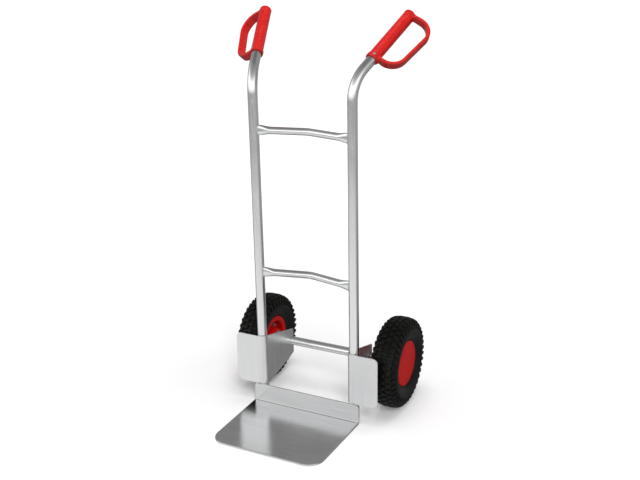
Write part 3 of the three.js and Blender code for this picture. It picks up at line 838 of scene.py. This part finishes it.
def ring_between(node, bore):
    """A flat ring with eased edges in the place of a CAD washer."""
    low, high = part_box(node)
    radius, chamfer = (high.z - low.z) / 2, 0.0003
    profile = outline([
        (bore, low.x, chamfer), (radius, low.x, chamfer),
        (radius, high.x, chamfer), (bore, high.x, chamfer),
    ], steps=2)
    return turned(profile, ROUND, AXLE_LINE)


add_piece("axle_sleeve", axle_tube(), "frame", TUBE_FINISH, ["axle_tube"])
add_piece("axle_shaft", axle_rod(), "frame", ZINC, ["axle_rod"])
for washer in ("spacer_washer", "outer_washer"):
    add_pair(
        f"plain_{washer}",
        lambda: ring_between(f"{washer}_right", AXLE_RADIUS + FITTING_GAP),
        ZINC, [washer],
    )


# ---------------- tyres

def tyre_section(count=180):
    """Outer line of the tyre, (radius, x) from bead to bead: a squarish crown over rounder walls."""
    points = []
    bead_angle = math.radians(142)
    for k in range(count + 1):
        angle = bead_angle * (2 * k / count - 1)
        crown = math.cos(angle) >= 0
        power = 2 / 3.0 if crown else 2 / 2.2
        depth = TYRE_RADIUS - TYRE_WAIST if crown else TYRE_WALL_DEPTH
        radius = TYRE_WAIST + bulged(math.cos(angle), power) * depth
        points.append(Vector((radius, bulged(math.sin(angle), power) * TYRE_HALF_WIDTH)))
    return points


class TreadLine:
    """Places on the tyre's outer line by distance from the middle of the crown."""

    def __init__(self):
        self.points = tyre_section()
        self.lengths = [0.0]
        for a, b in zip(self.points, self.points[1:]):
            self.lengths.append(self.lengths[-1] + (b - a).length)
        self.half = self.lengths[-1] / 2

    def at(self, distance):
        """(point, outward normal) at a signed distance from the crown's middle."""
        target = min(max(distance + self.half, 0.0), self.lengths[-1])
        i = 0
        while i < len(self.lengths) - 2 and self.lengths[i + 1] < target:
            i += 1
        share = (target - self.lengths[i]) / (self.lengths[i + 1] - self.lengths[i])
        leg = (self.points[i + 1] - self.points[i]).normalized()
        return self.points[i].lerp(self.points[i + 1], share), Vector((leg.y, -leg.x))


TREAD = TreadLine()


def tyre_point(angle, distance, height):
    """A point over the tyre's outer line, in the frame, for the right-hand wheel."""
    place, normal = TREAD.at(distance)
    radius, x = place + normal * height
    return Vector((
        WHEEL_AT.x + x,
        WHEEL_AT.y + radius * math.cos(angle),
        WHEEL_AT.z + radius * math.sin(angle),
    ))


def carcass_profile():
    """The tyre under its lugs: sunk below them, with fine grooves in the walls and a closed inside."""
    outer = []
    samples, grooves = 72, (8, 11, 61, 64)
    for k in range(samples + 1):
        distance = TREAD.half * (2 * k / samples - 1)
        place, normal = TREAD.at(distance)
        sunk = LUG_HEIGHT * (1 - smooth((abs(distance) - TREAD_EDGE) / TREAD_FADE))
        groove = 0.0009 if k in grooves else 0.0
        outer.append(tuple(place - normal * (sunk + groove)))
    bead = 0.0513
    inner = [
        (bead, 0.024), (bead, 0.015), (0.062, 0.014), (0.078, 0.029), (0.095, 0.032), (0.112, 0.026),
    ]
    mirrored = [(radius, -x) for radius, x in reversed(inner)]
    return outer + inner + [(0.118, 0.0)] + mirrored


# Each row of lugs: nearest and furthest distance from the crown's middle, share of the pitch
# that a lug fills, and how far the row is turned, in pitches.
LUG_ROWS = [
    (0.0020, 0.0150, 0.62, 0.0),
    (0.0185, 0.0315, 0.58, 0.5),
    (0.0350, 0.0590, 0.50, 0.0),
]


def add_lug(bm, angle, near, far, filled, skew):
    """A rounded block on the carcass, with drafted sides."""
    middle_at, half_width = (near + far) / 2, abs(far - near) / 2
    radius = TREAD.at(middle_at)[0].x
    half_length = LUG_PITCH * radius * filled / 2
    rings = []
    for grow, height in ((0.0012, -LUG_HEIGHT - 0.0008), (0.0, -0.0018), (-0.0006, -0.0006), (-0.0020, 0.0)):
        length, width = half_length + grow, half_width + grow
        corner = LUG_CORNER + grow
        points = []
        for sx, sy, start in ((1, 1, 0), (-1, 1, 90), (-1, -1, 180), (1, -1, 270)):
            for k in range(4):
                turn = math.radians(start + 30 * k)
                a = sx * (length - corner) + corner * math.cos(turn)
                b = sy * (width - corner) + corner * math.sin(turn)
                points.append(tyre_point(angle + (a + skew * b) / radius, middle_at + b, height))
        rings.append(add_ring(bm, points, [tuple(point) for point in points]))
    capped(bm, rings)


def tyre():
    """The carcass and its lugs, with the rows of one side half a pitch from the other's."""
    bm = turned(carcass_profile(), TYRE_SIDES, WHEEL_AT)
    for near, far, filled, turn in LUG_ROWS:
        for side in (-1, 1):
            for k in range(LUGS):
                angle = LUG_PITCH * (k + turn + side * 0.25)
                add_lug(bm, angle, side * near, side * far, filled, side * LUG_SKEW)
    return bm


add_pair("lugged_tyre", tyre, TYRE_RUBBER, ["tyre"], wheel=True)


# ---------------- rims, caps and bearings

def rim_half(side, hub_end):
    """One half of the rim: barrel, flange, web and hub, about the wheel's centre plane."""
    seat, hub, housing, bore = 0.051, 0.026, 0.0203, 0.014
    at = side * 0.00015
    shelf = hub_end - side * 0.0123
    corners = [
        (bore, at), (seat, at), (seat, side * 0.0240, 0.0015), (0.0640, side * 0.0250, 0.0009),
        (0.0640, side * 0.0272, 0.0009), (seat, side * 0.0272, 0.0020),
        (seat - 0.003, side * 0.0235, 0.0015), (seat - 0.003, side * 0.005, 0.004),
        (hub, side * 0.005, 0.003), (hub, hub_end, 0.0012),
        (housing, hub_end, 0.0005), (housing, shelf), (bore, shelf),
    ]
    return turned(outline(corners, steps=4), FINE, WHEEL_AT)


def hub_cap():
    """Thin domed disc with a rolled edge and a snap skirt behind it."""
    face, radius, skirt = 0.029, 0.065, 0.047
    dome = [(0.061 * k / 16, face + 0.0016 * (1 - (k / 16) ** 2)) for k in range(16)]
    profile = outline([
        (0, face - 0.0015), *dome, (0.0615, face, 0.002), (radius, face - 0.0006, 0.0005),
        (radius, face - 0.0015, 0.0004), (skirt, face - 0.0015), (skirt, face - 0.006, 0.0005),
        (skirt - 0.002, face - 0.006, 0.0005), (skirt - 0.002, face - 0.0015),
    ], steps=4)
    return turned(profile, FINE, WHEEL_AT)


def ball_bearing(node):
    """Outer race, recessed seal and inner race in one turned ring."""
    low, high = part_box(node)
    bore, inner, outer, rim = AXLE_RADIUS + 0.00005, 0.0130, 0.0172, 0.0200
    sink = 0.0006
    profile = outline([
        (bore, low.x, 0.0004), (inner, low.x), (inner, low.x + sink),
        (outer, low.x + sink), (outer, low.x),
        (rim, low.x, 0.0006), (rim, high.x, 0.0006), (outer, high.x), (outer, high.x - sink),
        (inner, high.x - sink), (inner, high.x), (bore, high.x, 0.0004),
    ], steps=2)
    return turned(profile, ROUND, AXLE_LINE)


add_pair("rim_half_outer", lambda: rim_half(1, 0.014), RED_RIM, ["rim_outer"], wheel=True)
add_pair("rim_half_inner", lambda: rim_half(-1, -0.034), RED_RIM, ["rim_inner"], wheel=True)
add_pair("domed_hub_cap", hub_cap, RED_RIM, ["hub_cap"], wheel=True)
for bearing in ("bearing_outer", "bearing_inner"):
    add_pair(
        f"ball_{bearing}",
        lambda: ball_bearing(f"{bearing}_right"),
        BEARING, [bearing], wheel=True,
    )


# ---------------- grips

def grip_body():
    """The sleeve: a collar at the mouth, a long straight barrel and a domed closed end."""
    radius, collar, length, bore = GRIP_RADIUS, GRIP_COLLAR, GRIP_LENGTH, TUBE_RADIUS + FITTING_GAP
    profile = outline([
        (bore, 0), (collar, 0, 0.0012), (collar, 0.011, 0.004), (radius, 0.016, 0.006),
        (radius, length - 0.0125, 0.001), (radius - 0.0012, length - 0.0118, 0.0006),
        (radius - 0.0012, length - 0.0105, 0.0006), (radius + 0.0008, length - 0.0098, 0.002),
        (radius + 0.0003, length - 0.001, 0.008), (0, length), (0, GRIP_DEPTH + 0.001),
        (bore, GRIP_DEPTH + 0.001),
    ], steps=6)
    bm = turned(profile, ROUND)
    place = Matrix((GRIP_ALONG, GRIP_GUARD, GRIP_ACROSS)).transposed().to_4x4()
    place.translation = GRIP_MOUTH
    bmesh.ops.transform(bm, matrix=place, verts=bm.verts)
    return bm


def grip_guard():
    """The knuckle guard: a wide flat band from the closed end back to the collar."""
    path = bent_path([
        (in_grip(GUARD_ROOTS[0], 0.004), 0),
        (in_grip(0.175, 0.078), 0.039),
        (in_grip(0.003, 0.063), 0.041),
        (in_grip(0.0132, 0.0145), 0),
    ], steps=18)
    path = resampled(path, 0.004)
    bm = new_bmesh()
    section = outline([
        (a * GUARD_HALF_WIDTH, b * GUARD_HALF_THICKNESS, GUARD_CORNER)
        for a, b in ((-1, -1), (1, -1), (1, 1), (-1, 1))
    ], steps=5)
    capped(bm, sweep(bm, path, lambda i: section, GRIP_ACROSS.cross(path[1] - path[0])))
    return bm


def near_joints(co):
    """1 where the guard runs into the sleeve, fading to 0 further off."""
    offset = co - GRIP_MOUTH
    along = offset.dot(GRIP_ALONG)
    if offset.dot(GRIP_GUARD) < 0.004:
        return 0.0
    off_sleeve = max(0.0, (offset - GRIP_ALONG * along).length - FILLET_SKIN)
    off_root = max(0.0, min(abs(along - root) for root in GUARD_ROOTS) - ROOT_HALF_LENGTH)
    return 1 - smooth((math.hypot(off_sleeve, off_root) - FILLET_START) / FILLET_FADE)


def blended_grip():
    """Sleeve and guard as one moulding, with soft fillets where they meet."""
    both, guard = grip_body(), grip_guard()
    for bm in (both, guard):
        bmesh.ops.recalc_face_normals(bm, faces=bm.faces)
    loose = new_mesh("guard blank", guard)
    both.from_mesh(loose)
    joined = new_mesh("grip blank", both)
    blank = new_object("grip blank", joined)
    remesh = blank.modifiers.new("remesh", "REMESH")
    remesh.mode = "VOXEL"
    remesh.voxel_size = 0.0010
    evaluated = blank.evaluated_get(bpy.context.evaluated_depsgraph_get())
    bm = new_bmesh()
    bm.from_mesh(evaluated.to_mesh())
    bpy.data.objects.remove(blank)
    bpy.data.meshes.remove(joined)
    bpy.data.meshes.remove(loose)
    fillets = [vert for vert in bm.verts if near_joints(vert.co) > 0.02]
    all_axes = {"use_axis_x": True, "use_axis_y": True, "use_axis_z": True}
    fillet_passes, overall_passes = 26, 4
    for verts in [fillets] * fillet_passes + [bm.verts] * overall_passes:
        bmesh.ops.smooth_vert(bm, verts=verts, factor=0.5, **all_axes)
    return bm


def grip_screw():
    """Round-headed screw with a socket, driven into the collar."""
    seat = 0.0183
    head = [
        (0, seat + 0.0008), (0.0014, seat + 0.0008), (0.0015, seat + 0.0022), (0.0024, seat + 0.0020),
        (0.0034, seat + 0.0012), (0.0038, seat + 0.0003), (0.0037, seat), (0.0020, seat),
        (0.0020, 0.0100), (0.0016, 0.0092), (0, 0.0092),
    ]
    return turned(head, 24, in_grip(0.010, 0), -GRIP_ACROSS)


GRIP_MESH = new_mesh("grip mesh", blended_grip())


def grip_copy():
    bm = new_bmesh()
    bm.from_mesh(GRIP_MESH)
    return bm


add_pair("moulded_grip", grip_copy, RED_GRIP, ["grip"], sharp=50)
add_pair("collar_screw", grip_screw, ZINC, ["grip_screw"])


# ---------------- carried-over CAD pieces

def repaint():
    """Small fasteners and hidden wheel parts keep their CAD shape and get a worked finish."""
    finishes = {
        "retaining_ring": ZINC, "rim_bolt": ZINC, "rim_nut": ZINC,
        "inner_tube": BUTYL, "valve_stem": BUTYL, "valve_cap": BLACK_PLASTIC,
    }
    for name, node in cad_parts.items():
        for stem, finish in finishes.items():
            if name.startswith(stem):
                node.material_slots[0].material = finish


repaint()


# ---------------- stage, light and camera

def floor_material():
    """Pale matt floor that glows a little more away from the truck, so that it stays white."""
    shader = Shader("pale floor", Specular_IOR_Level=0.1)
    cloud = shader.noise(0.6, detail=2.0)
    shader.colour(shader.ramp(cloud, (0.3, (0.84, 0.84, 0.84)), (0.7, (0.86, 0.86, 0.86))))
    shader.roughness(shader.remap(cloud, 0.85, 0.95))
    away = shader.node("ShaderNodeVectorMath", {0: shader.place}, operation="LENGTH").outputs["Value"]
    glow = shader.remap(away, 0.14, 0.60, 0.45, 2.4)
    shader.surface.inputs["Emission Color"].default_value = (1, 1, 1, 1)
    shader.tree.links.new(glow, shader.surface.inputs["Emission Strength"])
    return shader.material


def make_floor():
    bm = bmesh.new()
    bmesh.ops.create_grid(bm, x_segments=8, y_segments=8, size=40)
    floor = new_object("floor", new_mesh("floor", bm))
    floor.data.materials.append(floor_material())
    floor.visible_glossy = False
    floor.visible_diffuse = False


def make_world():
    """A pale room: dim well below the floor, white at the horizon and greyer overhead."""
    world = bpy.data.worlds.new("studio")
    bpy.context.scene.world = world
    world.use_nodes = True
    world.cycles_visibility.glossy = False
    tree = world.node_tree
    place = add_node(tree, "ShaderNodeTexCoord").outputs["Generated"]
    upward = add_node(tree, "ShaderNodeSeparateXYZ", {"Vector": place}).outputs["Z"]
    height = add_node(tree, "ShaderNodeMapRange", {"Value": upward, "From Min": -1}).outputs["Result"]
    ramp = add_node(tree, "ShaderNodeValToRGB", {"Fac": height})
    elements = ramp.color_ramp.elements
    elements[0].position = 0.38
    elements[0].color = (0.22, 0.22, 0.22, 1)
    elements[1].position = 0.70
    elements[1].color = (0.50, 0.50, 0.51, 1)
    for level in (0.45, 0.50):
        elements.new(level).color = (1, 1, 1, 1)
    tree.links.new(ramp.outputs["Color"], tree.nodes["Background"].inputs["Color"])


# What polished metal sees round the set, in front of the truck and behind it: (height, light),
# where the height runs from 0, straight down, to 1, straight up.
FRONT_OF_SET = (
    (0.0, 0.60), (0.24, 0.76), (0.28, 0.92), (0.32, 0.94), (0.345, 0.80), (0.37, 0.56),
    (0.40, 0.38), (0.43, 0.27), (0.48, 0.32), (0.52, 0.85), (0.58, 1.30), (0.66, 1.45),
    (0.74, 1.25), (0.80, 0.60), (0.88, 0.34), (1.0, 0.24),
)
BACK_OF_SET = (
    (0.0, 0.35), (0.25, 0.20), (0.31, 0.18), (0.36, 0.32), (0.42, 0.38), (0.50, 0.30),
    (0.60, 0.27), (0.75, 0.27), (0.86, 0.30), (1.0, 0.12),
)


def make_reflections():
    """A dome that only reflections see: bright paper and a long soft box in front, a dark
    studio behind and overhead."""
    material = bpy.data.materials.new("studio reflections")
    material.use_nodes = True
    material.cycles.emission_sampling = "NONE"
    tree = material.node_tree
    tree.nodes.remove(tree.nodes["Principled BSDF"])

    place = add_node(tree, "ShaderNodeTexCoord").outputs["Object"]
    facing = add_node(tree, "ShaderNodeVectorMath", {0: place}, operation="NORMALIZE").outputs["Vector"]
    parts = add_node(tree, "ShaderNodeSeparateXYZ", {"Vector": facing}).outputs
    halved = {0: parts["Z"], 1: 0.5, 2: 0.5}
    height = add_node(tree, "ShaderNodeMath", halved, operation="MULTIPLY_ADD").outputs["Value"]

    def levels(stops):
        ramp = add_node(tree, "ShaderNodeValToRGB", {"Fac": height})
        elements = ramp.color_ramp.elements
        elements.remove(elements[1])
        elements[0].position = 0.0
        for position, light in stops:
            element = elements.new(position) if position else elements[0]
            element.color = (light, light, light, 1)
        return ramp.outputs["Color"]

    behind = add_node(tree, "ShaderNodeMapRange", {
        "Value": parts["Y"], "From Min": -0.45, "From Max": 0.35,
    }, interpolation_type="SMOOTHSTEP").outputs["Result"]
    mix = add_node(tree, "ShaderNodeMix", data_type="RGBA")
    tree.links.new(behind, mix.inputs["Factor"])
    first_colour, second_colour = 6, 7
    tree.links.new(levels(FRONT_OF_SET), mix.inputs[first_colour])
    tree.links.new(levels(BACK_OF_SET), mix.inputs[second_colour])
    mixed_colour = 2
    light = {"Color": mix.outputs[mixed_colour], "Strength": 1.0}
    emission = add_node(tree, "ShaderNodeEmission", light)
    tree.links.new(emission.outputs["Emission"], tree.nodes["Material Output"].inputs["Surface"])

    bm = bmesh.new()
    bmesh.ops.create_uvsphere(bm, u_segments=64, v_segments=32, radius=45)
    dome = new_object("reflections", new_mesh("reflections", bm))
    dome.data.materials.append(material)
    dome.visible_camera = False
    dome.visible_diffuse = False
    dome.visible_shadow = False
    dome.visible_transmission = False


def soft_light(name, location, target, size, power):
    light = bpy.data.lights.new(name, "AREA")
    light.shape = "RECTANGLE"
    light.size, light.size_y = size
    light.energy = power
    lamp = new_object(name, light)
    lamp.location = location
    lamp.rotation_euler = (Vector(target) - Vector(location)).to_track_quat("-Z", "Y").to_euler()
    lamp.visible_camera = False
    lamp.visible_glossy = False


def make_camera():
    """The photo's camera, as worked out from the truck's outline: a short telephoto, a little tilted."""
    azimuth, pitch, roll = math.radians(27.3), math.radians(18.88), math.radians(-1.10)
    ahead = Vector((
        -math.sin(azimuth) * math.cos(pitch), math.cos(azimuth) * math.cos(pitch), -math.sin(pitch)))
    level = Vector((math.cos(azimuth), math.sin(azimuth), 0))
    upward = level.cross(ahead)
    right = level * math.cos(roll) + upward * math.sin(roll)
    up = upward * math.cos(roll) - level * math.sin(roll)
    data = bpy.data.cameras.new("camera")
    data.sensor_width = 36
    data.lens = 53.6
    camera = new_object("camera", data)
    stand = Matrix.Translation((1.1439, -2.1288, 1.3343))
    camera.matrix_world = stand @ Matrix((right, up, -ahead)).transposed().to_4x4()
    bpy.context.scene.camera = camera


make_floor()
make_world()
make_reflections()
soft_light("overhead", (0.2, 0.1, 3.4), (0, 0, 0.4), (1.8, 1.8), 46)
soft_light("key", (2.0, -2.6, 2.8), (0, 0, 0.5), (1.0, 1.4), 60)
make_camera()
bpy.context.scene.view_settings.view_transform = "Standard"
